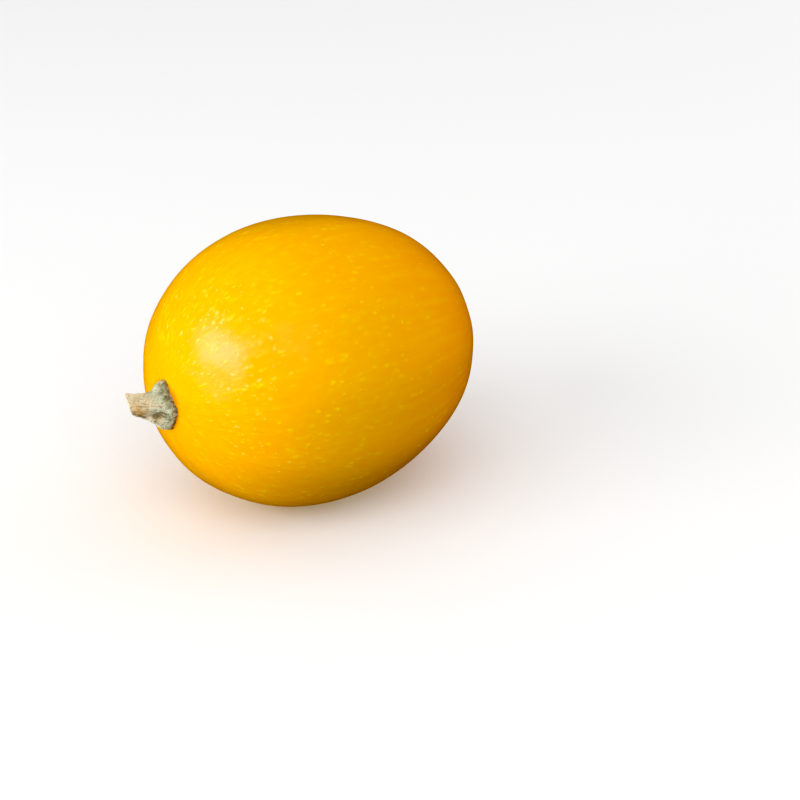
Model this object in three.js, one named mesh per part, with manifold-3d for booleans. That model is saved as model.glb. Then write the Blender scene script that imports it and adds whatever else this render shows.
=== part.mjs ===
// Round summer squash, lying on its side as it was picked: one fruit and its dry, five-ridged stem.
// Millimetres, +Z up. The fruit's long axis runs along X at half its height, stem end towards -X.
// The origin is the middle of the flat spot that the fruit lies on, under its widest section.
// A clock angle goes round the long axis: 0 is straight up and a quarter turn points along -Y.
import * as THREE from "three";
import { mergeVertices } from "three/addons/utils/BufferGeometryUtils.js";
import Module from "manifold-3d";

const wasm = await Module();
wasm.setup();

// Fruit: driving dimensions
const FRUIT_LENGTH = 170;
const FRUIT_DIAMETER = 140;
const EGG_SHAPE = 0.057; // share by which the stem half is fuller than the blossom half
const BLUNTNESS = 0.019; // share by which the shoulders stand out from a true ellipse
const REST_SPOT_DEPTH = 1.6; // how far the skin is flattened where the fruit lies

// Fruit: low ribs, the hollow under the stem, and the scar where the flower dropped off
const RIB_COUNT = 10;
const RIB_HEIGHT = 0.35;
const RIB_CLOCK = THREE.MathUtils.degToRad(5);
const SEAT_DEPTH = 1;
const SEAT_RADIUS = 18;
const SCAR_DEPTH = 1.4;
const SCAR_RADIUS = 8;
const SCAR_BUTTON_HEIGHT = 1;
const SCAR_BUTTON_RADIUS = 4;
const SCAR_BUTTON_STEEPNESS = 4; // 2 is a soft swelling, more gives steeper sides

// Stem: driving dimensions, with heights along its own axis from the fruit's skin
const STEM_REACH = 18.1;
const STEM_RISE = 4.9;
const STEM_SWAY = 1.8; // towards +Y
const BEND_POWER = 1.5;
const FOOT_RADIUS = 7.6; // in the grooves between the lobes
const NECK_RADIUS = 5.2; // in the grooves between the ridges
const NECK_TAPER = 0.06; // loss of radius for each millimetre of height
const FLARE_HEIGHT = 5.8;
const FLARE_POWER = 3;
const STEM_ROOT = 6; // length that starts inside the fruit before the foot is trimmed to the skin
const SEAT_GAP = 0.3;

// Stem: each ridge's clock angle in degrees, and how far its lobe stands out from the foot's grooves
const RIDGES = [
  { clock: 0, lobe: 4.4 },
  { clock: 86, lobe: 2.9 },
  { clock: 165, lobe: 4.6 },
  { clock: 224, lobe: 2.6 },
  { clock: 280, lobe: 2.2 },
];
const RIDGE_HEIGHT = 1.5; // up the neck
const RIDGE_HALF_WIDTH = THREE.MathUtils.degToRad(25);
const RIDGE_TWIST = THREE.MathUtils.degToRad(0.6); // for each millimetre of height

// Stem: the slanting cut at the tip
const CUT_NORMAL = new THREE.Vector3(-0.89, 0.38, -0.23).normalize();
const CUT_ALLOWANCE = 14; // length past the tip that the cut takes off

// Fineness of the faceted solids
const FRUIT_SIDES = 80;
const FRUIT_STEPS = 46;
const POLE_CROWDING = 0.7; // share by which the steps close up towards the two ends
const STEM_SIDES = 50;
const STEM_STEP = 1.6;

// Worked out
const RADIUS = FRUIT_DIAMETER / 2;
const AXIS_HEIGHT = RADIUS - REST_SPOT_DEPTH;
const WIDEST_ANGLE = widestAngle();
const WIDEST_RADIUS = plainRadius(WIDEST_ANGLE);
const CENTRE_X = (FRUIT_LENGTH / 2) * Math.cos(WIDEST_ANGLE);
const STEM_POLE = new THREE.Vector3(CENTRE_X - FRUIT_LENGTH / 2 + SEAT_DEPTH, 0, AXIS_HEIGHT);

// The profile's radius, before scaling, at a polar angle from the stem end
function plainRadius(polar) {
  return Math.sin(polar) * (1 + EGG_SHAPE * Math.cos(polar) + BLUNTNESS * Math.cos(2 * polar));
}

// The polar angle of the widest section: a few steps of Newton's rule on the profile's slope
function widestAngle() {
  const nudge = 1e-3;
  const rounds = 6;
  let polar = Math.PI / 2;
  for (let round = 0; round < rounds; round++) {
    const below = plainRadius(polar - nudge);
    const here = plainRadius(polar);
    const above = plainRadius(polar + nudge);
    polar -= ((above - below) * nudge) / (2 * (above - 2 * here + below));
  }
  return polar;
}

// A bump of height 1 at its middle that fades with distance from there
function bump(distance, halfWidth, steepness = 2) {
  return Math.exp(-(Math.abs(distance / halfWidth) ** steepness));
}

// The fruit's half outline from stem end to blossom end, as points of radius and place along X
function fruitOutline() {
  const points = [];
  for (let step = 0; step <= FRUIT_STEPS; step++) {
    const turn = (2 * Math.PI * step) / FRUIT_STEPS;
    const polar = (turn - POLE_CROWDING * Math.sin(turn)) / 2;
    const radius = step % FRUIT_STEPS ? (RADIUS * plainRadius(polar)) / WIDEST_RADIUS : 0;
    let along = CENTRE_X - (FRUIT_LENGTH / 2) * Math.cos(polar);
    if (along < 0) {
      along += SEAT_DEPTH * bump(radius, SEAT_RADIUS);
    } else {
      along -= SCAR_DEPTH * bump(radius, SCAR_RADIUS);
      along += SCAR_BUTTON_HEIGHT * bump(radius, SCAR_BUTTON_RADIUS, SCAR_BUTTON_STEEPNESS);
    }
    points.push(new THREE.Vector2(radius, along));
  }
  return points;
}

// Turns an outline into a closed solid, with each point placed by a rule of its radius, height and turn
function turned(outline, sides, place) {
  const geometry = new THREE.LatheGeometry(outline, sides);
  const position = geometry.getAttribute("position");
  const point = new THREE.Vector3();
  for (let index = 0; index < position.count; index++) {
    point.fromBufferAttribute(position, index);
    const moved = place(Math.hypot(point.x, point.z), point.y, Math.atan2(point.x, point.z));
    position.setXYZ(index, moved.x, moved.y, moved.z);
  }
  return solidOf(geometry);
}

// The fruit before its resting spot is flattened, with its clock along the turn. Its whole skin moves
// outwards by the growth that is asked for.
function fruitBody(grown = 0) {
  const growth = 1 + grown / RADIUS;
  return turned(fruitOutline(), FRUIT_SIDES, (radius, along, turn) => {
    const rib = RIB_HEIGHT * (radius / RADIUS) * Math.cos(RIB_COUNT * (turn - RIB_CLOCK));
    const reach = (radius + rib) * growth;
    return new THREE.Vector3(
      CENTRE_X + (along - CENTRE_X) * growth,
      -reach * Math.sin(turn),
      AXIS_HEIGHT + reach * Math.cos(turn),
    );
  });
}

// The space above the floor, as a block far larger than the fruit
function aboveFloor() {
  const side = 2 * FRUIT_LENGTH;
  return solidOf(new THREE.BoxGeometry(side, side, side).translate(0, 0, side / 2));
}

// How much of the foot's flare is left at a height above the skin: 1 at the skin, 0 up the neck
function flare(height) {
  return 1 / (1 + (Math.max(height, 0) / FLARE_HEIGHT) ** FLARE_POWER);
}

// The stem's half outline, from inside the fruit to past its tip, as points of groove radius and height
function stemOutline() {
  const top = STEM_REACH + CUT_ALLOWANCE;
  const steps = Math.round((top + STEM_ROOT) / STEM_STEP);
  const points = [new THREE.Vector2(0, -STEM_ROOT)];
  for (let step = 0; step <= steps; step++) {
    const height = -STEM_ROOT + ((top + STEM_ROOT) * step) / steps;
    const neck = NECK_RADIUS - NECK_TAPER * Math.max(height, 0);
    points.push(new THREE.Vector2(neck + (FOOT_RADIUS - NECK_RADIUS) * flare(height), height));
  }
  points.push(new THREE.Vector2(0, top));
  return points;
}

// How far the ridges stand out of the grooves at a clock angle and a height
function ridgeRelief(clock, height) {
  const spread = flare(height);
  return RIDGES.reduce((relief, ridge) => {
    const crest = THREE.MathUtils.degToRad(ridge.clock) + RIDGE_TWIST * Math.max(height, 0);
    const apart = Math.atan2(Math.sin(clock - crest), Math.cos(clock - crest));
    const tall = RIDGE_HEIGHT + (ridge.lobe - RIDGE_HEIGHT) * spread;
    return relief + tall * bump(apart, RIDGE_HALF_WIDTH);
  }, 0);
}

// The stem before it is trimmed to the fruit and cut at its tip. Its height runs towards -X, so its
// clock goes against the turn, which keeps the faces pointing out.
function stemBody() {
  return turned(stemOutline(), STEM_SIDES, (radius, height, turn) => {
    const clock = -turn;
    const reach = radius > 0 ? radius + ridgeRelief(clock, height) : 0;
    const bend = (Math.max(height, 0) / STEM_REACH) ** BEND_POWER;
    return new THREE.Vector3(
      STEM_POLE.x - height,
      STEM_SWAY * bend - reach * Math.sin(clock),
      AXIS_HEIGHT + STEM_RISE * bend + reach * Math.cos(clock),
    );
  });
}

// What the slanting cut takes away: a block whose face passes through the middle of the stem's tip
function offcut() {
  const side = 4 * CUT_ALLOWANCE;
  const tip = new THREE.Vector3(STEM_POLE.x - STEM_REACH, STEM_SWAY, AXIS_HEIGHT + STEM_RISE);
  const block = new THREE.BoxGeometry(side, side, side).translate(0, 0, side / 2);
  const lean = new THREE.Quaternion().setFromUnitVectors(new THREE.Vector3(0, 0, 1), CUT_NORMAL);
  return solidOf(block.applyQuaternion(lean).translate(tip.x, tip.y, tip.z));
}

// A closed geometry as a solid that can be joined and cut
function solidOf(geometry) {
  geometry.deleteAttribute("normal");
  geometry.deleteAttribute("uv");
  const merged = mergeVertices(geometry);
  const vertProperties = merged.getAttribute("position").array;
  const triVerts = new Uint32Array(merged.index.array);
  return new wasm.Manifold(new wasm.Mesh({ numProp: 3, vertProperties, triVerts }));
}

// A solid as a named mesh
function meshOf(name, solid, material) {
  const { vertProperties, triVerts } = solid.getMesh();
  const geometry = new THREE.BufferGeometry();
  geometry.setAttribute("position", new THREE.BufferAttribute(vertProperties, 3));
  geometry.setIndex(new THREE.BufferAttribute(triVerts, 1));
  geometry.computeVertexNormals();
  const mesh = new THREE.Mesh(geometry, material);
  mesh.name = name;
  return mesh;
}

const skin = new THREE.MeshStandardMaterial({ color: 0xf7ab10, roughness: 0.42, metalness: 0 });
const cork = new THREE.MeshStandardMaterial({ color: 0xb7a880, roughness: 0.9, metalness: 0 });

const squash = new THREE.Group();
squash.add(meshOf("fruit", fruitBody().intersect(aboveFloor()), skin));
squash.add(meshOf("stem", stemBody().subtract(fruitBody(SEAT_GAP)).subtract(offcut()), cork));

export default squash;
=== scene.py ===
"""Looks of a whole round summer squash lying on its side: ribbed, flecked skin and a dry, corky stem.

Metres, +Z up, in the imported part's own frame. The fruit's long axis runs along X, with the stem end
towards -X, and it lies on the flat spot at the origin. A clock angle goes round that axis from
straight up towards -Y.
"""

import logging
import math
from dataclasses import dataclass
from enum import Enum
from typing import ClassVar

import bpy
import numpy as np
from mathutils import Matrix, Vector, noise


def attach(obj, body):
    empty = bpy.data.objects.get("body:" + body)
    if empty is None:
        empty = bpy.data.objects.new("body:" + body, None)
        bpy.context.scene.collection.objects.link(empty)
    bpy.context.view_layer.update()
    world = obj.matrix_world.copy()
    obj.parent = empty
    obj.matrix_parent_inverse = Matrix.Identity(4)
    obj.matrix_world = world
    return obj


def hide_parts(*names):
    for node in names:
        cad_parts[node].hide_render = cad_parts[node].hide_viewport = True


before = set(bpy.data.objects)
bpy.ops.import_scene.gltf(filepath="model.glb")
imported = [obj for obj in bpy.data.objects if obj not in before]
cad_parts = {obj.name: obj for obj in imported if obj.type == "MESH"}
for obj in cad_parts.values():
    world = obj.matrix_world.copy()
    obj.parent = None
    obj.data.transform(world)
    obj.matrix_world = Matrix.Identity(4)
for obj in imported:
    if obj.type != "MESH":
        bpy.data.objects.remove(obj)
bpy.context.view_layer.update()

LOG = logging.getLogger("squash")
BODY = "root"
IMAGE_SIDE = 800  # pixels, both ways
SHORTEST = 1e-12  # a normal shorter than this isn't stretched to full length

Colour = tuple[float, float, float]
Triple = tuple[float, float, float]
Socket = bpy.types.NodeSocket
Value = float | Socket
Tint = Colour | Socket


def smooth_step(low: float, high: float, value: np.ndarray) -> np.ndarray:
    """Eases from 0 at low to 1 at high.

    Args:
        low: Where the rise starts.
        high: Where the rise ends; below low, the step falls instead.
        value: The numbers to ease.

    Returns:
        Shares from 0 to 1.
    """
    share = np.clip((value - low) / (high - low), 0.0, 1.0)
    return share * share * (3.0 - 2.0 * share)


def swelling(distance: np.ndarray, half_width: float, steepness: float = 2.0) -> np.ndarray:
    """A bump of height 1 at its middle that fades with distance from there."""
    return np.exp(-(np.abs(distance / half_width) ** steepness))


def grain(points: np.ndarray, wavelength: float, seed: float) -> np.ndarray:
    """Smooth random relief, the same in every run.

    Args:
        points: Places, as an array whose last axis is x, y, z in metres.
        wavelength: Rough distance from one swelling to the next, in metres.
        seed: Shifts the relief, so that two calls differ.

    Returns:
        Numbers from about -1 to 1, one for each point.
    """
    flat = points.reshape(-1, 3) / wavelength + seed
    relief = np.array([noise.noise(Vector(place)) for place in flat])
    return relief.reshape(points.shape[:-1])


def surface_normals(rings: np.ndarray) -> np.ndarray:
    """Outward unit normals of rings that are closed round and run towards +X.

    Args:
        rings: Points as rows, columns and x, y, z.

    Returns:
        Normals in the same layout.
    """
    around = np.roll(rings, -1, axis=1) - np.roll(rings, 1, axis=1)
    along = np.gradient(rings, axis=0)
    normals = np.cross(around, along)
    return normals / np.maximum(np.linalg.norm(normals, axis=-1, keepdims=True), SHORTEST)


class RingMesh:
    """A closed skin made of rings that run towards +X, with one point at each end."""

    def __init__(self, name: str, rings: np.ndarray) -> None:
        """Builds the mesh and links it into the scene.

        Args:
            name: The piece's name.
            rings: Points as rows, columns and x, y, z; each end closes on its ring's middle.
        """
        rows, columns, _ = rings.shape
        ends = np.stack([rings[0].mean(axis=0), rings[-1].mean(axis=0)])
        points = np.concatenate([rings.reshape(-1, 3), ends])
        first_end, last_end = rows * columns, rows * columns + 1
        index = np.arange(rows * columns).reshape(rows, columns)
        beside = np.roll(index, -1, axis=1)
        quads = np.stack([index[:-1], beside[:-1], beside[1:], index[1:]], axis=-1).reshape(-1, 4)
        first_fan = [(first_end, b, a) for a, b in zip(index[0].tolist(), beside[0].tolist())]
        last_fan = [(last_end, a, b) for a, b in zip(index[-1].tolist(), beside[-1].tolist())]
        mesh = bpy.data.meshes.new(name)
        mesh.from_pydata(points.tolist(), [], quads.tolist() + first_fan + last_fan)
        mesh.shade_smooth()
        mesh.update()
        self.piece = bpy.data.objects.new(name, mesh)
        bpy.context.scene.collection.objects.link(self.piece)

    def note(self, name: str, values: np.ndarray) -> None:
        """Keeps a number or a vector for each point of the rings, for a finish to read.

        Args:
            name: What the finish calls it.
            values: One number or one vector for each row and column.
        """
        is_vector = values.ndim == 3
        ends = np.stack([values[0].mean(axis=0), values[-1].mean(axis=0)])
        flat = np.concatenate([values.reshape(-1, *values.shape[2:]), ends]).astype(np.float32)
        kind = "FLOAT_VECTOR" if is_vector else "FLOAT"
        kept = self.piece.data.attributes.new(name, kind, "POINT")
        kept.data.foreach_set("vector" if is_vector else "value", flat.ravel())

    def stand_for(self, node: str, material: bpy.types.Material) -> bpy.types.Object:
        """Dresses the piece and puts it in its node's place.

        Args:
            node: The solid that the piece replaces.
            material: The finish.

        Returns:
            The piece.
        """
        self.piece.data.materials.append(material)
        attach(self.piece, BODY)
        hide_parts(node)
        return self.piece


class ShaderBoard:
    """A material's node tree, with short calls for the nodes that the finishes share."""

    MIX_SHARE, MIX_BASE, MIX_OVER, MIX_RESULT = 0, 6, 7, 2  # the colour sockets of a Mix node

    def __init__(self, name: str) -> None:
        """Starts a material that holds only its surface shader.

        Args:
            name: The material's name.
        """
        self.material = bpy.data.materials.new(name)
        self.material.use_nodes = True
        self.tree = self.material.node_tree
        self.tree.nodes.clear()
        self.shader = self.add("ShaderNodeBsdfPrincipled")
        output = self.add("ShaderNodeOutputMaterial")
        self.feed(output.inputs["Surface"], self.shader.outputs["BSDF"])
        self.place = self.add("ShaderNodeTexCoord").outputs["Object"]

    def add(self, kind: str, **settings: object) -> bpy.types.Node:
        """Adds a node and sets its properties.

        Args:
            kind: The node's class name.
            settings: Property names and values.

        Returns:
            The node.
        """
        node = self.tree.nodes.new(kind)
        for name, value in settings.items():
            setattr(node, name, value)
        return node

    def feed(self, socket: Socket, value: object) -> None:
        """Links a socket to another one, or sets it to a number, vector or colour.

        Args:
            socket: The input that takes the value.
            value: An output socket or a constant.
        """
        if isinstance(value, Socket):
            self.tree.links.new(value, socket)
        elif socket.type == "RGBA":
            socket.default_value = (*value, 1.0)
        else:
            socket.default_value = value

    def calc(self, operation: str, first: Value, second: Value = 0.0) -> Socket:
        """One sum, with its result kept from 0 to 1.

        Args:
            operation: The Math node's operation.
            first: Its first number.
            second: Its second number.

        Returns:
            The result.
        """
        node = self.add("ShaderNodeMath", operation=operation, use_clamp=True)
        self.feed(node.inputs[0], first)
        self.feed(node.inputs[1], second)
        return node.outputs[0]

    def grade(
        self, value: Value, low: Value, high: Value, end: float = 1.0, start: float = 0.0
    ) -> Socket:
        """Eases from start at low to end at high.

        Args:
            value: The number to ease.
            low: Where the change starts.
            high: Where the change ends.
            end: The result at high.
            start: The result at low.

        Returns:
            The eased number.
        """
        node = self.add("ShaderNodeMapRange", interpolation_type="SMOOTHSTEP")
        sockets = ("Value", "From Min", "From Max", "To Min", "To Max")
        for name, number in zip(sockets, (value, low, high, start, end)):
            self.feed(node.inputs[name], number)
        return node.outputs["Result"]

    def mix(self, share: Value, base: Tint, over: Tint) -> Socket:
        """Lays one colour over another.

        Args:
            share: How much of the upper colour shows, from 0 to 1.
            base: The colour below.
            over: The colour on top.

        Returns:
            The mixed colour.
        """
        node = self.add("ShaderNodeMix", data_type="RGBA")
        self.feed(node.inputs[self.MIX_SHARE], share)
        self.feed(node.inputs[self.MIX_BASE], base)
        self.feed(node.inputs[self.MIX_OVER], over)
        return node.outputs[self.MIX_RESULT]

    def noted(self, name: str, output: str = "Fac") -> Socket:
        """What a mesh keeps under a name, as a number or a vector."""
        return self.add("ShaderNodeAttribute", attribute_name=name).outputs[output]

    def stretched(self, vector: Socket, factors: Triple) -> Socket:
        """A vector with each of its parts multiplied.

        Args:
            vector: The vector.
            factors: One factor for each part.

        Returns:
            The product.
        """
        node = self.add("ShaderNodeVectorMath", operation="MULTIPLY")
        self.feed(node.inputs[0], vector)
        node.inputs[1].default_value = factors
        return node.outputs["Vector"]

    def cloud(self, vector: Socket, scale: float, detail: float = 2.0) -> Socket:
        """Soft random patches.

        Args:
            vector: Where the patches are read.
            scale: How many patches there are in a unit of length.
            detail: How many finer layers are added.

        Returns:
            A number that is mostly from 0.3 to 0.7.
        """
        node = self.add("ShaderNodeTexNoise")
        self.feed(node.inputs["Vector"], vector)
        node.inputs["Scale"].default_value = scale
        node.inputs["Detail"].default_value = detail
        return node.outputs["Fac"]

    def ruffled(self, vector: Socket, scale: float, amount: float) -> Socket:
        """Places moved at random, so that what is drawn at them gets an uneven outline.

        Args:
            vector: The places.
            scale: How many waves there are in a unit of length.
            amount: How far the places move.

        Returns:
            The moved places.
        """
        waves = self.add("ShaderNodeTexNoise")
        self.feed(waves.inputs["Vector"], vector)
        waves.inputs["Scale"].default_value = scale
        node = self.add("ShaderNodeVectorMath", operation="MULTIPLY_ADD")
        self.feed(node.inputs[0], waves.outputs["Color"])
        node.inputs[1].default_value = (amount,) * 3
        self.feed(node.inputs[2], vector)
        return node.outputs["Vector"]

    def relief(self, layers: list[tuple[Value, float]]) -> Socket:
        """Fine relief from several heights, one on top of the other.

        Args:
            layers: Heights from 0 to 1, each with its depth in metres.

        Returns:
            The bent normal.
        """
        normal = None
        for height, depth in layers:
            node = self.add("ShaderNodeBump")
            node.inputs["Strength"].default_value = 1.0
            node.inputs["Distance"].default_value = depth
            self.feed(node.inputs["Height"], height)
            if normal is not None:
                self.feed(node.inputs["Normal"], normal)
            normal = node.outputs["Normal"]
        return normal


class FleckKind(Enum):
    """The marks scattered over the skin, each with the mesh's note on how thickly it grows."""

    DOT = "dot_density"
    SMUDGE = "smudge_density"
    DASH = "dash_density"
    PINPRICK = "pinprick_density"
    GREEN_SPECK = "green_density"


@dataclass(frozen=True)
class FleckLayer:
    """One kind of fleck, scattered over the unrolled skin.

    Attributes:
        kind: Which mark it is.
        spacing: Distance from one place for a fleck to the next, in metres.
        radius: A fleck's half width, in metres.
        stretch: How many times longer than wide a fleck is along the fruit.
        core: The part of its width that has its full colour.
        strength: How plainly the plainest fleck shows.
        colour: The fleck's colour.
    """

    RUFFLE_SCALE: ClassVar[float] = 1.6  # waves in a fleck's outline for each spacing
    RUFFLE: ClassVar[float] = 0.5  # how far they move it, in spacings
    WIDTHS: ClassVar[tuple[float, float]] = (0.55, 1.25)  # narrowest and widest fleck, in radii
    FAINTEST: ClassVar[float] = 0.25  # how plainly the faintest fleck shows, against the plainest
    RARITY: ClassVar[float] = 1.5  # above 1, faint flecks outnumber plain ones

    kind: FleckKind
    spacing: float
    radius: float
    stretch: float
    core: float
    strength: float
    colour: Colour

    def mask(self, board: ShaderBoard) -> Socket:
        """Where this layer's flecks are.

        Args:
            board: The skin's node tree.

        Returns:
            0 between flecks, up to the layer's strength in the middle of one.
        """
        across = 1.0 / self.spacing
        skin = board.noted("unrolled", "Vector")
        places = board.stretched(skin, (across, across, across / self.stretch))
        cells = board.add("ShaderNodeTexVoronoi")
        board.feed(cells.inputs["Vector"], board.ruffled(places, self.RUFFLE_SCALE, self.RUFFLE))
        cells.inputs["Scale"].default_value = 1.0
        draws = board.add("ShaderNodeSeparateColor")
        board.feed(draws.inputs["Color"], cells.outputs["Color"])
        edge = self.radius * across
        narrow, wide = (share * edge for share in self.WIDTHS)
        width = board.grade(draws.outputs["Green"], 0.0, 1.0, wide, narrow)
        spot = board.grade(cells.outputs["Distance"], width, board.calc("MULTIPLY", width, self.core))
        present = board.calc("LESS_THAN", draws.outputs["Red"], board.noted(self.kind.value))
        plain = board.calc("POWER", draws.outputs["Blue"], self.RARITY)
        plain = board.grade(plain, 0.0, 1.0, self.strength, self.FAINTEST * self.strength)
        return board.calc("MULTIPLY", board.calc("MULTIPLY", spot, present), plain)


@dataclass(frozen=True)
class SkinFinish:
    """Hard, waxy yellow skin: orange towards the blossom end, streaked along its length, with pale flecks.

    Attributes:
        young: Colour near the stem.
        ripe: Colour towards the blossom end and low on the sides, and painted shade on the shoulder where
            the key light falls brightest.
        streak: Colour of the streaks that run from end to end.
        ground: Colour of the patch that lay on the soil.
        scar: Colour of the dry scar where the flower was.
        scar_pit: Colour of the cracks in it.
        scar_rim_and_stem_shade: Colour round the scar, and painted shade round the stem's foot.
        roughness: Gloss of the clean skin.
        shine: Strength of its reflections.
        gleam: Their tint, which the wax gives.
        scar_dullness: Gloss that the scar loses.
        fleck_dullness: Gloss that the plainest fleck loses.
        wax_change: How far the wax's gloss varies either way.
        patch_scale: Patches of riper skin in a metre.
        mottle_scale: Finer patches in a metre along, across and up the fruit.
        streak_scale: Streaks in a turn's cosine, in its sine, and from end to end.
        crust_scale: Crumbs of the scar in a metre.
        wax_scale: Waves of the wax in a metre.
        peel_scale: Pores in a metre along, across and up the fruit.
        depths: Depth of the streaks, wax, pores, flecks and cracks, in metres.
        flecks: The layers of flecks, each over the one before.
    """

    young: Colour = (0.95, 0.458, 0.006)
    ripe: Colour = (0.94, 0.332, 0.003)
    streak: Colour = (0.95, 0.50, 0.012)
    ground: Colour = (0.93, 0.60, 0.14)
    scar: Colour = (0.42, 0.26, 0.10)
    scar_pit: Colour = (0.10, 0.055, 0.025)
    scar_rim_and_stem_shade: Colour = (0.66, 0.21, 0.004)
    roughness: float = 0.245
    shine: float = 0.70
    gleam: Colour = (1.0, 0.74, 1.0)
    scar_dullness: float = 0.5
    fleck_dullness: float = 0.05
    wax_change: float = 0.02
    patch_scale: float = 34.0
    mottle_scale: Triple = (120.0, 210.0, 210.0)
    streak_scale: Triple = (24.0, 24.0, 4.0)
    crust_scale: float = 520.0
    wax_scale: float = 110.0
    peel_scale: Triple = (500.0, 900.0, 900.0)
    depths: tuple[float, ...] = (0.00007, 0.00014, 0.00004, 0.00012, -0.0004)
    flecks: tuple[FleckLayer, ...] = (
        FleckLayer(FleckKind.SMUDGE, 0.0026, 0.0013, 2.6, 0.0, 0.80, (0.98, 0.60, 0.013)),
        FleckLayer(FleckKind.DASH, 0.0022, 0.0010, 2.0, 0.0, 0.95, (0.98, 0.62, 0.015)),
        # Pinpricks and dots are paler and bluer than the rest; round the highlight they are partly painted
        # glints.
        FleckLayer(FleckKind.PINPRICK, 0.0019, 0.0008, 1.4, 0.1, 0.80, (0.97, 0.58, 0.05)),
        FleckLayer(FleckKind.DOT, 0.0029, 0.0012, 1.3, 0.15, 0.95, (0.98, 0.61, 0.08)),
        FleckLayer(FleckKind.GREEN_SPECK, 0.0085, 0.0012, 1.5, 0.1, 0.55, (0.62, 0.50, 0.02)),
    )

    def tone(self, board: ShaderBoard, streaks: Socket) -> Socket:
        """The skin's colour without its flecks.

        Args:
            board: The skin's node tree.
            streaks: The pattern of streaks.

        Returns:
            The colour.
        """
        patches = board.cloud(board.place, self.patch_scale, 3.0)
        mottle = board.cloud(board.stretched(board.place, self.mottle_scale), 1.0, 3.0)
        broad = board.grade(patches, 0.3, 0.7, 0.10)
        uneven = board.calc("ADD", broad, board.grade(mottle, 0.35, 0.65, 0.14))
        # The ripeness also holds painted shade: oranger skin where the key light falls brightest.
        ripeness_and_shade = board.calc("SUBTRACT", board.calc("ADD", board.noted("ripeness_and_shade"), uneven), 0.11)
        tone = board.mix(ripeness_and_shade, self.young, self.ripe)
        tone = board.mix(board.grade(streaks, 0.48, 0.70, 0.3), tone, self.streak)
        tone = board.mix(board.grade(streaks, 0.46, 0.28, 0.15), tone, self.ripe)
        # Painted shade: a darker orange ring round the stem's foot.
        tone = board.mix(board.grade(board.noted("stem_shade"), 0.25, 0.8, 0.7), tone, self.scar_rim_and_stem_shade)
        ground_edge = board.calc("ADD", board.noted("ground"), board.grade(patches, 0.3, 0.7, 0.2, -0.2))
        return board.mix(board.grade(ground_edge, 0.35, 0.75, 0.85), tone, self.ground)

    def material(self) -> bpy.types.Material:
        """Mixes the finish from what the fruit's mesh notes.

        Returns:
            The skin's node material.
        """
        board = ShaderBoard("waxy_skin")
        meridian = board.noted("meridian", "Vector")
        streaks = board.cloud(board.stretched(meridian, self.streak_scale), 1.0, 3.0)
        tone = self.tone(board, streaks)
        spots = None
        for layer in self.flecks:
            mask = layer.mask(board)
            tone = board.mix(mask, tone, layer.colour)
            spots = mask if spots is None else board.calc("MAXIMUM", spots, mask)
        crust = board.cloud(board.place, self.crust_scale, 3.0)
        scar = board.calc("ADD", board.noted("scar"), board.grade(crust, 0.3, 0.7, 0.16, -0.16))
        tone = board.mix(board.grade(scar, 0.25, 0.6, 0.7), tone, self.scar_rim_and_stem_shade)
        scarred = board.grade(scar, 0.42, 0.74)
        tone = board.mix(scarred, tone, self.scar)
        cracked = board.calc("MULTIPLY", scarred, board.grade(crust, 0.52, 0.38, 0.85))
        tone = board.mix(cracked, tone, self.scar_pit)
        board.feed(board.shader.inputs["Base Color"], tone)
        dull_scar = board.calc("MULTIPLY", scarred, self.scar_dullness)
        dull = board.calc("ADD", dull_scar, board.calc("MULTIPLY", spots, self.fleck_dullness))
        wax = board.cloud(board.place, self.wax_scale, 3.0)
        dullest = self.roughness + self.wax_change
        gloss = board.grade(wax, 0.3, 0.7, dullest, self.roughness - self.wax_change)
        board.feed(board.shader.inputs["Roughness"], board.calc("ADD", gloss, dull))
        board.shader.inputs["Specular IOR Level"].default_value = self.shine
        board.shader.inputs["Specular Tint"].default_value = (*self.gleam, 1.0)
        peel = board.cloud(board.stretched(board.place, self.peel_scale), 1.0)
        layers = zip((streaks, wax, peel, spots, cracked), self.depths)
        board.feed(board.shader.inputs["Normal"], board.relief(list(layers)))
        return board.material


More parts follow.
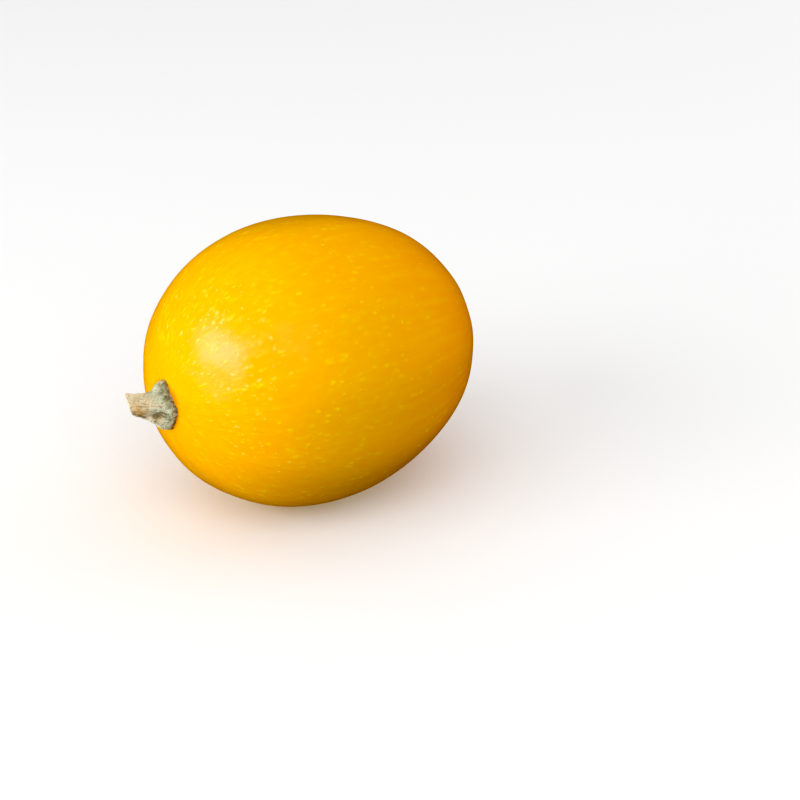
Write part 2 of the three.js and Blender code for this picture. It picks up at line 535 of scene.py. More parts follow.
@dataclass(frozen=True)
class CorkFinish:
    """Dry, corky stem: pale sage and tan bark, rubbed ridges, dark specks, and a cream cut.

    Attributes:
        sage: Pale grey-green bark of the foot.
        moss: Darker bark in patches near the skin.
        tan: Weathered bark of the neck.
        crest: Rubbed bark on the ridges and at the cut's edge.
        groove: Bark in dark lines, and painted shade in the folds and where the stem meets the skin.
        speck: Dark specks and cracks.
        ochre: Knobs of dried sap, and the stain round them.
        cut: Wood of the cut face.
        pith: Its loose middle, and the bruise below the crease.
        roughness: Gloss of the bark.
        shine: Strength of its reflections.
        patch_scale: Patches of paler bark in a metre.
        blotch_scale: Blotches of moss in a metre.
        crack_scale: Specks and cracks in a metre.
        fibre_scale: Fibres in a metre across the stem, twice, and along it.
        depths: Depth of the fibres and of the cracks, in metres.
    """

    sage: Colour = (0.55, 0.57, 0.41)
    moss: Colour = (0.22, 0.23, 0.13)
    tan: Colour = (0.70, 0.62, 0.41)
    crest: Colour = (0.79, 0.72, 0.51)
    groove: Colour = (0.22, 0.145, 0.06)
    speck: Colour = (0.07, 0.07, 0.045)
    ochre: Colour = (0.64, 0.33, 0.05)
    cut: Colour = (0.80, 0.70, 0.46)
    pith: Colour = (0.48, 0.36, 0.18)
    roughness: float = 0.88
    shine: float = 0.25
    patch_scale: float = 230.0
    blotch_scale: float = 420.0
    crack_scale: float = 900.0
    fibre_scale: Triple = (1100.0, 1100.0, 130.0)
    depths: tuple[float, float] = (0.0003, 0.0005)

    def bark(self, board: ShaderBoard, cracks: Socket) -> Socket:
        """The bark's colour.

        Args:
            board: The stem's node tree.
            cracks: The pattern of specks and cracks.

        Returns:
            The colour.
        """
        height = board.noted("height")
        ridge = board.noted("ridge")
        patches = board.cloud(board.place, self.patch_scale, 4.0)
        blotches = board.cloud(board.place, self.blotch_scale, 5.0)
        upward = board.calc("ADD", height, board.grade(patches, 0.3, 0.7, 0.3, -0.3))
        tone = board.mix(board.grade(upward, 0.3, 0.65), self.sage, self.tan)
        tone = board.mix(board.grade(board.noted("dry"), 0.1, 0.9, 0.5), tone, self.tan)
        tone = board.mix(board.grade(ridge, 0.55, 1.0, 0.5), tone, self.crest)
        tone = board.mix(board.grade(height, 0.78, 1.05, 0.8), tone, self.crest)
        tone = board.mix(board.grade(patches, 0.52, 0.68, 0.5), tone, self.crest)
        tone = board.mix(board.grade(board.noted("bruise"), 0.1, 0.9, 0.75), tone, self.pith)
        low = board.grade(height, 0.45, 0.08)
        mossy = board.calc("MULTIPLY", board.grade(blotches, 0.45, 0.58, 0.6), low)
        grown = board.calc("MULTIPLY", board.grade(blotches, 0.36, 0.52, 1.0, 0.35), board.noted("moss"))
        tone = board.mix(board.calc("MAXIMUM", mossy, grown), tone, self.moss)
        # Painted shade: a dark line where the stem's foot meets the skin.
        at_skin = board.grade(height, 0.10, 0.02)
        rim = board.calc("MULTIPLY", at_skin, board.grade(blotches, 0.36, 0.55, 0.9, 0.3))
        tone = board.mix(rim, tone, self.groove)
        # Painted shade in the creases.
        tone = board.mix(board.grade(board.noted("fold"), 0.05, 0.75, 0.85), tone, self.groove)
        stained = board.calc("MULTIPLY", board.noted("sap"), board.grade(blotches, 0.62, 0.45, 0.95, 0.6))
        tone = board.mix(stained, tone, self.ochre)
        dirt = board.calc("ADD", cracks, board.calc("MULTIPLY", low, 0.05))
        return board.mix(board.grade(dirt, 0.60, 0.70, 0.8), tone, self.speck)

    def material(self) -> bpy.types.Material:
        """Mixes the finish from what the stem's mesh notes.

        Returns:
            The bark's node material.
        """
        board = ShaderBoard("dry_cork")
        cracks = board.cloud(board.place, self.crack_scale, 5.0)
        lengthwise = board.stretched(board.noted("fibre", "Vector"), self.fibre_scale)
        fibres = board.cloud(lengthwise, 1.0, 3.0)
        tone = self.bark(board, cracks)
        neck = board.grade(board.noted("height"), 0.15, 0.5, 1.0, 0.3)
        dark_lines = board.calc("MULTIPLY", board.grade(fibres, 0.47, 0.32, 0.6), neck)
        tone = board.mix(dark_lines, tone, self.groove)
        pale_lines = board.calc("MULTIPLY", board.grade(fibres, 0.54, 0.68, 0.5), neck)
        tone = board.mix(pale_lines, tone, self.crest)
        cut = board.noted("cut")
        wood = board.mix(board.grade(cut, 0.75, 0.95), self.cut, self.pith)
        wood = board.mix(board.grade(fibres, 0.5, 0.35, 0.4), wood, self.pith)
        tone = board.mix(board.grade(cut, 0.0, 0.12), tone, wood)
        board.feed(board.shader.inputs["Base Color"], tone)
        board.shader.inputs["Roughness"].default_value = self.roughness
        board.shader.inputs["Specular IOR Level"].default_value = self.shine
        layers = zip((fibres, cracks), self.depths)
        board.feed(board.shader.inputs["Normal"], board.relief(list(layers)))
        return board.material


@dataclass
class Fruit:
    """The squash itself, grown as one piece, with its lengths in metres and its angles in radians.

    Attributes:
        length: From stem end to blossom end.
        diameter: Across the widest section.
        egg_shape: Share by which the stem half is fuller than the blossom half.
        bluntness: Share by which the shoulders stand out from a true ellipse.
        rest_depth: How far the skin is flattened where the fruit lies.
        rest_softness: How gently the skin turns up from that flat spot.
        rib_count: Ribs round the fruit.
        rib_height: How far a rib's crest stands out.
        rib_clock: Clock angle of the first crest.
        seat_depth: Depth of the hollow under the stem.
        seat_radius: Half width of that hollow.
        scar_depth: Depth of the hollow round the blossom scar.
        scar_radius: Half width of that hollow.
        button_height: How far the scar's button stands up in it.
        button_radius: Half width of the button.
        button_steepness: How steep its sides are; 2 is a soft swelling.
        lump_height: Uneven growth of the whole skin.
        lump_spacing: Distance from one swelling of that growth to the next.
        small_lumps: Height of its smaller swellings, against the broad ones.
        small_lump_spacing: Distance from one of those to the next.
        ground_radius: Half width of the patch that lay on the soil.
        stem_shade_ring: Half width of the painted shade, a darker orange ring, under the stem.
        scar_ring: Half width of the dry scar.
        drift_spacing: Distance from one crowd of flecks to the next.
        rows: Rings of the fine mesh.
        columns: Points round each ring.
        pole_crowding: Share by which the rings close up towards the two ends.
        highlight_clock: Clock angle of the side where the key light's highlight falls.
        roll_radius: Distance from the axis at which the flecks have their true width.
        finish: The skin.
    """

    PROFILE_STEPS: ClassVar[int] = 20001  # angles that are tried for the widest section
    LUMP_SEED: ClassVar[float] = 3.7
    SMALL_LUMP_SEED: ClassVar[float] = 8.1
    DRIFT_SEED: ClassVar[float] = 21.3
    STEM_SHADE_EDGE: ClassVar[float] = 6.0  # steepness of the edge of the painted shade under the stem
    SCAR_EDGE: ClassVar[float] = 3.0  # steepness of the scar's edge

    length: float = 0.170
    diameter: float = 0.140
    egg_shape: float = 0.057
    bluntness: float = 0.019
    rest_depth: float = 0.0016
    rest_softness: float = 0.0005
    rib_count: int = 10
    rib_height: float = 0.00035
    rib_clock: float = math.radians(5)
    seat_depth: float = 0.001
    seat_radius: float = 0.018
    scar_depth: float = 0.0014
    scar_radius: float = 0.008
    button_height: float = 0.001
    button_radius: float = 0.004
    button_steepness: float = 4.0
    lump_height: float = 0.00025
    lump_spacing: float = 0.045
    small_lumps: float = 0.25
    small_lump_spacing: float = 0.011
    ground_radius: float = 0.042
    stem_shade_ring: float = 0.0127
    scar_ring: float = 0.0062
    drift_spacing: float = 0.030
    rows: int = 250
    columns: int = 360
    pole_crowding: float = 0.7
    highlight_clock: float = math.radians(30)
    roll_radius: float = 0.050
    finish: SkinFinish = SkinFinish()

    def plain_radius(self, polar: np.ndarray) -> np.ndarray:
        """The profile before it is scaled to the fruit's diameter.

        Args:
            polar: Polar angles from the stem end.

        Returns:
            One radius for each angle, about 1 at the widest section.
        """
        egg = self.egg_shape * np.cos(polar)
        blunt = self.bluntness * np.cos(2.0 * polar)
        return np.sin(polar) * (1.0 + egg + blunt)

    @property
    def radius(self) -> float:
        """Half the diameter."""
        return self.diameter / 2.0

    @property
    def axis_height(self) -> float:
        """Height of the long axis over the floor."""
        return self.radius - self.rest_depth

    @property
    def widest_angle(self) -> float:
        """The polar angle of the widest section."""
        polar = np.linspace(0.0, math.pi, self.PROFILE_STEPS)
        return float(polar[np.argmax(self.plain_radius(polar))])

    @property
    def centre(self) -> Vector:
        """Half way along the long axis."""
        return Vector((self.length / 2.0 * math.cos(self.widest_angle), 0.0, self.axis_height))

    @property
    def stem_pole(self) -> Vector:
        """The bottom of the hollow that the stem grows from."""
        return self.centre + Vector((self.seat_depth - self.length / 2.0, 0.0, 0.0))

    def rings(self) -> tuple[np.ndarray, np.ndarray, np.ndarray]:
        """Lays out the skin.

        Returns:
            The points, with the distance from the axis and the clock angle of each.
        """
        turn = 2.0 * math.pi * np.arange(1, self.rows) / self.rows
        polar = ((turn - self.pole_crowding * np.sin(turn)) / 2.0)[:, None]
        clock = (2.0 * math.pi * np.arange(self.columns) / self.columns)[None, :]
        widest = self.plain_radius(np.array(self.widest_angle))
        plain = self.radius * self.plain_radius(polar) / widest
        along = self.centre.x - self.length / 2.0 * np.cos(polar)
        hollow = self.seat_depth * swelling(plain, self.seat_radius)
        scar = self.button_height * swelling(plain, self.button_radius, self.button_steepness)
        scar = scar - self.scar_depth * swelling(plain, self.scar_radius)
        along = along + np.where(along < 0.0, hollow, scar)
        rib = self.rib_height * plain / self.radius * np.cos(self.rib_count * (clock - self.rib_clock))
        reach = plain + rib
        clock = np.broadcast_to(clock, reach.shape)
        along = np.broadcast_to(along, reach.shape)
        points = np.stack(
            [along, -reach * np.sin(clock), self.axis_height + reach * np.cos(clock)], axis=-1
        )
        return points, reach, clock

    def grown(self, points: np.ndarray) -> np.ndarray:
        """Adds uneven growth to the skin and settles it on its resting spot.

        Args:
            points: The even skin.

        Returns:
            The skin as it lies.
        """
        broad = grain(points, self.lump_spacing, self.LUMP_SEED)
        small = grain(points, self.small_lump_spacing, self.SMALL_LUMP_SEED)
        lumps = self.lump_height * (broad + self.small_lumps * small)
        grown = points + surface_normals(points) * lumps[..., None]
        low = grown[..., 2]
        grown[..., 2] = (low + np.sqrt(low * low + self.rest_softness**2)) / 2.0
        return grown

    def highlight_side(self, clock: np.ndarray) -> np.ndarray:
        """How far the skin at clock angles faces the side where the key light's highlight falls, from 0 to
        1.
        """
        return smooth_step(-0.15, 0.55, np.cos(clock - self.highlight_clock))

    def fleck_density(
        self, points: np.ndarray, along: np.ndarray, clock: np.ndarray
    ) -> dict[FleckKind, np.ndarray]:
        """How thickly each kind of fleck grows.

        Dots and pinpricks, pale flecks that are partly painted glints, crowd the shoulder by the stem
        where the key light's highlight falls. Smudges and rows of dashes thin out towards the blossom end,
        where the green specks are.

        Args:
            points: The skin.
            along: Share of the length from the stem end.
            clock: Clock angles.

        Returns:
            For each kind, the part of its places that holds a fleck.
        """
        stem_side = smooth_step(0.75, 0.30, along)
        # The shoulder lies where the key light's highlight falls, so its pale flecks are partly painted
        # glints.
        shoulder = self.highlight_side(clock) * smooth_step(0.25, 0.10, along) * smooth_step(0.01, 0.04, along)
        valley = 0.5 - 0.5 * np.cos(self.rib_count * (clock - self.rib_clock))
        rows = 0.55 + 0.45 * valley
        drift = 1.0 + 0.8 * grain(points, self.drift_spacing, self.DRIFT_SEED)
        density = {
            FleckKind.DOT: 0.80 * shoulder * drift,
            FleckKind.SMUDGE: (0.12 + 0.68 * stem_side) * drift,
            FleckKind.DASH: (0.12 + 0.83 * stem_side) * rows * drift,
            FleckKind.PINPRICK: (0.02 + 0.78 * shoulder) * drift,
            FleckKind.GREEN_SPECK: 0.35 * smooth_step(0.45, 0.75, along) * drift,
        }
        return {kind: np.clip(share, 0.0, 1.0) for kind, share in density.items()}

    def unrolled(self, points: np.ndarray, clock: np.ndarray) -> np.ndarray:
        """The skin laid on a tube, so that what is drawn there runs from end to end.

        Args:
            points: The skin.
            clock: Clock angles.

        Returns:
            Two places round the tube and the length of skin from the stem end, in metres.
        """
        steps = np.linalg.norm(np.diff(points, axis=0), axis=-1)
        travelled = np.concatenate([np.zeros_like(steps[:1]), np.cumsum(steps, axis=0)])
        tube = self.roll_radius * np.stack([np.cos(clock), np.sin(clock)], axis=-1)
        return np.concatenate([tube, travelled[..., None]], axis=-1)

    def build(self) -> bpy.types.Object:
        """Makes the fruit's piece and notes what its finish reads.

        Returns:
            The piece, in the place of its solid.
        """
        points, reach, clock = self.rings()
        made = RingMesh("squash_fruit", self.grown(points))
        along = (points[..., 0] - self.centre.x) / self.length + 0.5
        for kind, share in self.fleck_density(points, along, clock).items():
            made.note(kind.value, share)
        lower = smooth_step(0.2, -0.9, np.cos(clock))
        far = smooth_step(0.1, 0.95, along) ** 2
        # Painted shade: oranger skin on the stem-side shoulder where the key light falls brightest.
        painted_shade_where_lit = smooth_step(0.28, 0.10, along) * self.highlight_side(clock)
        made.note("ripeness_and_shade", np.clip(0.95 * far + 0.35 * lower + 0.30 * painted_shade_where_lit, 0.0, 1.0))
        made.note("meridian", np.stack([np.cos(clock), np.sin(clock), along], axis=-1))
        made.note("unrolled", self.unrolled(points, clock))
        from_rest = np.hypot(points[..., 0], points[..., 1])
        made.note("ground", swelling(from_rest, self.ground_radius) * (np.cos(clock) < 0.0))
        # Painted shade round the stem's foot, on the stem half only.
        made.note("stem_shade", swelling(reach, self.stem_shade_ring, self.STEM_SHADE_EDGE) * (along < 0.5))
        made.note("scar", swelling(reach, self.scar_ring, self.SCAR_EDGE) * (along > 0.5))
        return made.stand_for("fruit", self.finish.material())


@dataclass(frozen=True)
class Ridge:
    """One of the stem's ridges.

    Attributes:
        clock: Its clock angle, in radians.
        lobe: How far its lobe stands out from the foot's grooves, in metres.
        neck: How far it stands out up the neck, in metres.
        run: Height over which the lobe runs out into the neck, in metres.
    """

    clock: float
    lobe: float
    neck: float = 0.0015
    run: float = 0.0056


@dataclass(frozen=True)
class Fold:
    """A crease in the bark, with heights along the stem in metres and angles in radians.

    Attributes:
        start: Clock angle and height of its first end.
        end: Clock angle and height of its other end.
        half_width: Half its width.
        depth: Its depth.
    """

    start: tuple[float, float]
    end: tuple[float, float]
    half_width: float
    depth: float


@dataclass(frozen=True)
class Patch:
    """Round patches of one kind on the bark.

    Attributes:
        spots: Clock angle, in radians, and height, in metres, of each one's middle.
        radius: Their half width, in metres.
    """

    spots: tuple[tuple[float, float], ...]
    radius: float

    def wider(self, factor: float) -> "Patch":
        """The same patches, so many times as wide."""
        return Patch(self.spots, self.radius * factor)


@dataclass
class Stem:
    """The dry stem, with heights along its own axis from the skin, in metres and radians.

    Attributes:
        fruit: What it grows on.
        reach: How far its tip stands from the skin.
        rise: How far the tip bends up.
        sway: How far the tip bends towards +Y.
        bend_power: How late the bend comes.
        foot_radius: The foot's radius in the grooves between its lobes.
        neck_radius: The neck's radius in the grooves between its ridges.
        neck_taper: Loss of radius for each metre of height.
        flare_height: Height over which the foot narrows to the neck.
        flare_power: How suddenly it narrows.
        root: Length that is sunk in the fruit.
        ridges: The ridges round it, and a web between two lobes of the foot.
        ridge_half_width: A ridge's half width.
        ridge_twist: Turn of the ridges for each metre of height.
        cut_normal: Which way the cut at the tip faces.
        wart_height: Size of the bark's knobs.
        wart_spacing: Distance from one knob to the next.
        small_warts: Height of the smaller knobs, against the broad ones.
        small_wart_spacing: Distance from one of those to the next.
        fibre_height: Size of its lengthwise fibres.
        fibre_spacing: Distance from one fibre to the next.
        tear: How ragged the cut's face is.
        tear_spacing: Distance from one tear to the next.
        collar_radius: Radius of the low collar that the foot ends in on the skin.
        collar_height: Height over which that collar fades.
        folds: Creases above the lower lobe and along the neck's lower side.
        sap: Knobs of dried sap beside the cut.
        sap_height: How far they stand out.
        sap_stain: How many times wider than the knobs their stain is.
        moss: Dark patches on the upper lobe and beside the crease.
        dry: The pale patch on the lower lobe.
        bruise: The brown patch below the crease.
        rim_width: Width of the bare edge along the cut.
        rows: Rings of the fine mesh along the bark.
        cut_rows: Rings across the cut face.
        columns: Points round each ring.
        finish: The bark.
    """

    HALVINGS: ClassVar[int] = 40  # steps in finding where the bark meets the cut
    FIBRE_SQUEEZE: ClassVar[Triple] = (0.18, 1.0, 1.0)  # draws the fibres out along X
    WART_SEED: ClassVar[float] = 5.5
    SMALL_WART_SEED: ClassVar[float] = 9.2
    FIBRE_SEED: ClassVar[float] = 2.4
    TEAR_SEED: ClassVar[float] = 14.2
    PATCH_STEEPNESS: ClassVar[float] = 3.0  # 2 fades softly, more gives a plainer edge
    FIRST_RING: ClassVar[float] = 0.04  # share of the cut's radius at which its first ring lies
    BARE_EDGE: ClassVar[float] = 0.1  # what the cut's note falls to at its edge, from 1 in its middle

    fruit: Fruit
    reach: float = 0.0181
    rise: float = 0.0049
    sway: float = 0.0018
    bend_power: float = 1.5
    foot_radius: float = 0.0076
    neck_radius: float = 0.0052
    neck_taper: float = 0.06
    flare_height: float = 0.0056
    flare_power: float = 4.0
    root: float = 0.0032
    ridges: tuple[Ridge, ...] = (
        Ridge(math.radians(0), 0.0046, run=0.0043),
        Ridge(math.radians(86), 0.0029),
        Ridge(math.radians(126), 0.0020, 0.0),
        Ridge(math.radians(165), 0.0046, 0.0010, run=0.0092),
        Ridge(math.radians(224), 0.0026),
        Ridge(math.radians(280), 0.0022),
    )
    ridge_half_width: float = math.radians(25)
    ridge_twist: float = math.radians(600)
    cut_normal: Triple = (-0.89, 0.38, -0.23)
    wart_height: float = 0.0004
    wart_spacing: float = 0.0026
    small_warts: float = 0.7
    small_wart_spacing: float = 0.0014
    fibre_height: float = 0.00018
    fibre_spacing: float = 0.0007
    tear: float = 0.0005
    tear_spacing: float = 0.0009
    collar_radius: float = 0.0088
    collar_height: float = 0.0020
    folds: tuple[Fold, ...] = (
        Fold((math.radians(105), 0.0057), (math.radians(128), 0.0074), 0.0021, 0.0010),
        Fold((math.radians(152), 0.0178), (math.radians(156), 0.0120), 0.0009, 0.0003),
    )
    sap: Patch = Patch(((math.radians(106), 0.0178), (math.radians(124), 0.0146)), 0.0016)
    sap_height: float = 0.0005
    sap_stain: float = 1.8
    moss: Patch = Patch(
        (
            (math.radians(8), 0.0022),
            (math.radians(20), 0.0036),
            (math.radians(48), 0.0020),
            (math.radians(70), 0.0020),
            (math.radians(108), 0.0042),
        ),
        0.0024,
    )
    dry: Patch = Patch(((math.radians(134), 0.0042),), 0.0032)
    bruise: Patch = Patch(((math.radians(141), 0.0064),), 0.0022)
    rim_width: float = 0.0007
    rows: int = 150
    cut_rows: int = 26
    columns: int = 260
    finish: CorkFinish = CorkFinish()

    def flare(self, height: np.ndarray, run: float) -> np.ndarray:
        """How much is left, at heights over the skin, of a flare that runs out over a given height."""
        return 1.0 / (1.0 + (np.maximum(height, 0.0) / run) ** self.flare_power)

    def relief(self, clock: np.ndarray, height: np.ndarray) -> np.ndarray:
        """How far the ridges stand out of the grooves.

        Args:
            clock: Clock angles.
            height: Heights over the skin.

        Returns:
            Lengths in metres.
        """
        total = np.zeros(np.broadcast_shapes(clock.shape, height.shape))
        for ridge in self.ridges:
            crest = ridge.clock + self.ridge_twist * np.maximum(height, 0.0)
            apart = np.arctan2(np.sin(clock - crest), np.cos(clock - crest))
            tall = ridge.neck + (ridge.lobe - ridge.neck) * self.flare(height, ridge.run)
            total = total + tall * swelling(apart, self.ridge_half_width)
        return total

    def bark(self, clock: np.ndarray, height: np.ndarray) -> np.ndarray:
        """Points of the plain bark.

        Args:
            clock: Clock angles.
            height: Heights over the skin.

        Returns:
            Points, with x, y, z on a new last axis.
        """
        neck = self.neck_radius - self.neck_taper * np.maximum(height, 0.0)
        groove = neck + (self.foot_radius - self.neck_radius) * self.flare(height, self.flare_height)
        collar = self.collar_radius * swelling(np.maximum(height, 0.0), self.collar_height)
        reach = np.maximum(groove + self.relief(clock, height), collar)
        bend = (np.maximum(height, 0.0) / self.reach) ** self.bend_power
        pole = self.fruit.stem_pole
        return np.stack(
            [
                np.broadcast_to(pole.x - height, reach.shape),
                self.sway * bend - reach * np.sin(clock),
                pole.z + self.rise * bend + reach * np.cos(clock),
            ],
            axis=-1,
        )

    def tip(self) -> np.ndarray:
        """The middle of the cut face."""
        pole = self.fruit.stem_pole
        return np.array([pole.x - self.reach, self.sway, pole.z + self.rise])

    def cut_height(self, clock: np.ndarray) -> np.ndarray:
        """Heights at which the bark meets the slanting cut, found by halving.

        Args:
            clock: Clock angles.

        Returns:
            One height for each angle.
        """
        normal = np.array(self.cut_normal) / np.linalg.norm(self.cut_normal)
        low = np.zeros_like(clock)
        high = np.full_like(clock, 2.0 * self.reach)
        for _ in range(self.HALVINGS):
            middle = (low + high) / 2.0
            past = (self.bark(clock, middle) - self.tip()) @ normal > 0.0
            high = np.where(past, middle, high)
            low = np.where(past, low, middle)
        return low

    def place(self, clock: float, height: float) -> np.ndarray:
        """One point of the plain bark."""
        return self.bark(np.array(clock), np.array(height))

    def fold_share(self, fold: Fold, points: np.ndarray) -> np.ndarray:
        """How deep each point lies in a fold.

        Args:
            fold: The fold.
            points: Points of the bark.

        Returns:
            Shares from 0 to 1.
        """
        start = self.place(*fold.start)
        run = self.place(*fold.end) - start
        share = np.clip((points - start) @ run / (run @ run), 0.0, 1.0)
        apart = np.linalg.norm(points - start - share[..., None] * run, axis=-1)
        return swelling(apart, fold.half_width)

    def patch_share(self, patch: Patch, points: np.ndarray) -> np.ndarray:
        """How far each point belongs to patches of one kind.

        Args:
            patch: The patches.
            points: Points of the bark.

        Returns:
            Shares from 0 to 1.
        """
        apart = [np.linalg.norm(points - self.place(*spot), axis=-1) for spot in patch.spots]
        return swelling(np.min(apart, axis=0), patch.radius, self.PATCH_STEEPNESS)

    def weathering(self, points: np.ndarray, on_cut: np.ndarray) -> np.ndarray:
        """How far the dry surface stands out from the plain one.

        Args:
            points: The plain surface.
            on_cut: Above 0 on the cut face.

        Returns:
            Lengths in metres.
        """
        warts = grain(points, self.wart_spacing, self.WART_SEED)
        small = np.abs(grain(points, self.small_wart_spacing, self.SMALL_WART_SEED))
        warts = warts + self.small_warts * small
        squeezed = points * np.array(self.FIBRE_SQUEEZE)
        fibres = grain(squeezed, self.fibre_spacing, self.FIBRE_SEED)
        bark = self.wart_height * warts + self.fibre_height * fibres
        bark = bark + self.sap_height * self.patch_share(self.sap, points)
        for fold in self.folds:
            bark = bark - fold.depth * self.fold_share(fold, points)
        torn = self.tear * grain(points, self.tear_spacing, self.TEAR_SEED)
        return np.where(on_cut > 0.0, torn, bark)

    def build(self) -> bpy.types.Object:
        """Makes the stem's piece, from the cut's middle to the root, and notes what its finish reads.

        Returns:
            The piece, in the place of its solid.
        """
        turn = 2.0 * math.pi * np.arange(self.columns) / self.columns
        rim = self.cut_height(turn)
        share = np.linspace(1.0, 0.0, self.rows)[:, None]
        height = -self.root + (rim + self.root) * share
        clock = np.broadcast_to(turn, height.shape)
        bark = self.bark(clock, height)
        outward = np.linspace(self.FIRST_RING, 1.0, self.cut_rows)[:-1, None, None]
        face = self.tip() + (bark[0] - self.tip()) * outward
        points = np.concatenate([face, bark])
        on_face = np.broadcast_to(1.0 - (1.0 - self.BARE_EDGE) * outward[..., 0], face.shape[:2])
        edge = self.BARE_EDGE * swelling(rim - height, self.rim_width)
        cut = np.concatenate([on_face, edge])
        normals = surface_normals(points)
        lumps = self.weathering(points, np.concatenate([on_face, np.zeros_like(edge)]))
        made = RingMesh("squash_stem", points + normals * lumps[..., None])
        relief = self.relief(clock, height)
        ridge = relief / relief.max(axis=1, keepdims=True)
        level = np.maximum(height, 0.0) / self.reach
        crown = np.ones(face.shape[:2])
        made.note("ridge", np.concatenate([crown, ridge]))
        made.note("height", np.concatenate([crown, level]))
        made.note("cut", cut)
        made.note("fold", np.max([self.fold_share(fold, points) for fold in self.folds], axis=0))
        made.note("sap", self.patch_share(self.sap.wider(self.sap_stain), points))
        made.note("moss", self.patch_share(self.moss, points))
        made.note("dry", self.patch_share(self.dry, points))
        made.note("bruise", self.patch_share(self.bruise, points))
        round_neck = np.stack([np.cos(clock), np.sin(clock)], axis=-1) * self.neck_radius
        bark_fibre = np.concatenate([round_neck, height[..., None]], axis=-1)
        face_fibre = bark_fibre[0] * np.concatenate([outward, outward, np.ones_like(outward)], axis=-1)
        made.note("fibre", np.concatenate([face_fibre, bark_fibre]))
        return made.stand_for("stem", self.finish.material())


@dataclass(frozen=True)
class PhotoCamera:
    """A camera where the photograph was taken from.

    Attributes:
        azimuth: Turn round the fruit's centre from looking along +Y, in radians.
        elevation: Height over the horizon, in radians.
        distance: From the fruit's centre, in metres.
        lens: Focal length, in millimetres.
        sensor: Width of the sensor, in millimetres.
        centre_pixel: Where the fruit's centre is in the picture.
    """

    azimuth: float = math.radians(-34.38)
    elevation: float = math.radians(25.44)
    distance: float = 0.9282
    lens: float = 85.0
    sensor: float = 36.0
    centre_pixel: tuple[float, float] = (312.7, 357.1)

    def build(self, centre: Vector) -> bpy.types.Object:
        """Places the camera level, turned so that the fruit's centre falls on its pixel.

        Args:
            centre: The fruit's centre.

        Returns:
            The camera.
        """
        flat = math.cos(self.elevation)
        back = Vector(
            (math.sin(self.azimuth) * flat, -math.cos(self.azimuth) * flat, math.sin(self.elevation))
        )
        focal = self.lens / self.sensor * IMAGE_SIDE
        right = (self.centre_pixel[0] - IMAGE_SIDE / 2.0) / focal
        up = (IMAGE_SIDE / 2.0 - self.centre_pixel[1]) / focal
        longer = math.hypot(1.0, up, right)
        pitch = math.acos(-back.z * longer / math.hypot(1.0, up)) - math.atan2(1.0, up)
        yaw = self.azimuth + math.atan2(right, math.cos(pitch) + up * math.sin(pitch))
        data = bpy.data.cameras.new("photo_camera")
        data.lens = self.lens
        data.sensor_width = self.sensor
        camera = bpy.data.objects.new("photo_camera", data)
        camera.location = centre + back * self.distance
        camera.rotation_euler = (math.pi / 2.0 - pitch, 0.0, yaw)
        bpy.context.scene.collection.objects.link(camera)
        bpy.context.scene.camera = camera
        return camera


@dataclass(frozen=True)
class SoftBox:
    """A rectangular lamp that faces the fruit.

    Attributes:
        name: What it does.
        direction: Where it stands, seen from the fruit's centre.
        distance: How far away, in metres.
        width: Its width, in metres.
        height: Its height, in metres.
        watts: Its power.
        mirrored: Whether the skin's gloss shows it.
    """

    name: str
    direction: Triple
    distance: float
    width: float
    height: float
    watts: float
    mirrored: bool = True

    def build(self, centre: Vector) -> None:
        """Hangs the lamp.

        Args:
            centre: The fruit's centre.
        """
        data = bpy.data.lights.new(self.name, "AREA")
        data.shape = "RECTANGLE"
        data.size = self.width
        data.size_y = self.height
        data.energy = self.watts
        lamp = bpy.data.objects.new(self.name, data)
        away = Vector(self.direction).normalized()
        lamp.location = centre + away * self.distance
        lamp.rotation_euler = away.to_track_quat("Z", "Y").to_euler()
        lamp.visible_camera = False
        lamp.visible_glossy = self.mirrored
        bpy.context.scene.collection.objects.link(lamp)


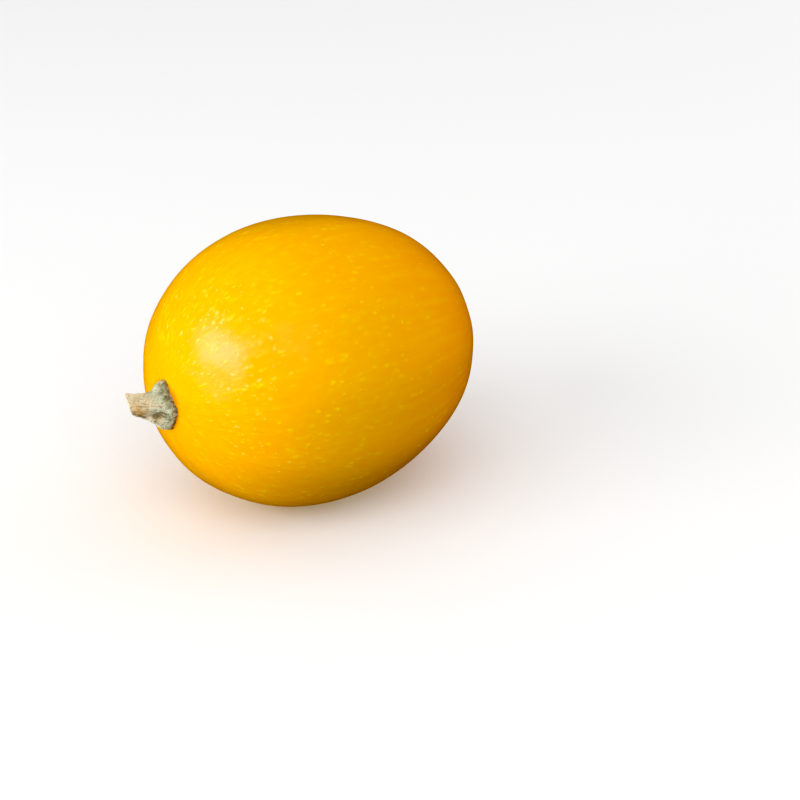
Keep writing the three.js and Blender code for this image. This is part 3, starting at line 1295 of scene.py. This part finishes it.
@dataclass(frozen=True)
class Studio:
    """A plain pale floor under soft light.

    Attributes:
        boxes: The lamps.
        sky_above: Strength of the even light from above the floor's level.
        sky_below: Strength of the even light that reaches the fruit from below that level.
        horizon: Half the height of the change between the two, as a share of a right angle's sine.
        black_level: Brightness that the picture shows as black.
        floor_tone: The floor's colour.
        floor_roughness: Its gloss.
        floor_shine: Strength of its reflections.
        floor_reach: How far the floor stretches each way, in metres.
        floor_gap: How far it lies below the fruit, in metres.
    """

    boxes: tuple[SoftBox, ...] = (
        SoftBox("key_softbox", (-0.875, 0.025, 0.455), 3.3, 2.5, 1.3, 40.5),
        SoftBox("fill_softbox", (-0.36, -0.61, 0.71), 3.3, 3.0, 2.5, 34.5, False),
        SoftBox("bounce_card", (-0.93, 0.20, 0.01), 1.5, 1.4, 0.2, 17.0, False),
        SoftBox("side_softbox", (0.95, -0.10, 0.15), 2.5, 1.6, 0.7, 18.0, False),
    )
    sky_above: float = 0.72
    sky_below: float = 0.38
    horizon: float = 0.15
    black_level: float = 0.035
    floor_tone: Colour = (0.9, 0.9, 0.9)
    floor_roughness: float = 0.9
    floor_shine: float = 0.1
    floor_reach: float = 12.0
    floor_gap: float = 0.0001

    def air(self) -> bpy.types.World:
        """The even light all round, weaker from below the floor's level.

        Returns:
            The world.
        """
        world = bpy.data.worlds.new("studio_air")
        world.use_nodes = True
        world.cycles_visibility.glossy = False
        tree = world.node_tree
        direction = tree.nodes.new("ShaderNodeTexCoord")
        parts = tree.nodes.new("ShaderNodeSeparateXYZ")
        change = tree.nodes.new("ShaderNodeMapRange")
        change.interpolation_type = "SMOOTHSTEP"
        limits = (-self.horizon, self.horizon, self.sky_below, self.sky_above)
        for name, value in zip(("From Min", "From Max", "To Min", "To Max"), limits):
            change.inputs[name].default_value = value
        light = tree.nodes["Background"]
        light.inputs["Color"].default_value = (1.0, 1.0, 1.0, 1.0)
        tree.links.new(direction.outputs["Generated"], parts.inputs["Vector"])
        tree.links.new(parts.outputs["Z"], change.inputs["Value"])
        tree.links.new(change.outputs["Result"], light.inputs["Strength"])
        return world

    def floor(self) -> bpy.types.Object:
        """A large pale floor. It takes shadows, but the fruit's own shading doesn't gather light from it.

        Returns:
            The floor.
        """
        far = self.floor_reach
        corners = [(-far, -far, 0.0), (far, -far, 0.0), (far, far, 0.0), (-far, far, 0.0)]
        mesh = bpy.data.meshes.new("floor")
        mesh.from_pydata(corners, [], [(0, 1, 2, 3)])
        board = ShaderBoard("pale_floor")
        board.shader.inputs["Base Color"].default_value = (*self.floor_tone, 1.0)
        board.shader.inputs["Roughness"].default_value = self.floor_roughness
        board.shader.inputs["Specular IOR Level"].default_value = self.floor_shine
        mesh.materials.append(board.material)
        floor = bpy.data.objects.new("floor", mesh)
        floor.location.z = -self.floor_gap
        floor.visible_diffuse = False
        floor.visible_glossy = False
        bpy.context.scene.collection.objects.link(floor)
        return floor

    def build(self, centre: Vector) -> None:
        """Lays the floor and hangs the lamps.

        Args:
            centre: The fruit's centre.
        """
        for box in self.boxes:
            box.build(centre)
        scene = bpy.context.scene
        scene.world = self.air()
        look = scene.view_settings
        look.view_transform = "Standard"
        look.use_curve_mapping = True
        look.curve_mapping.black_level = (self.black_level,) * 3
        look.curve_mapping.update()
        self.floor()


def main() -> None:
    """Builds the camera, the studio and the squash's pieces, and reports each piece."""
    logging.basicConfig(level=logging.INFO, format="%(name)s: %(message)s")
    fruit = Fruit()
    stem = Stem(fruit)
    PhotoCamera().build(fruit.centre)
    Studio().build(fruit.centre)
    for part in (fruit, stem):
        piece = part.build()
        LOG.info("%s: %d faces, %s m", piece.name, len(piece.data.polygons), tuple(piece.dimensions))


if __name__ == "__main__":
    main()
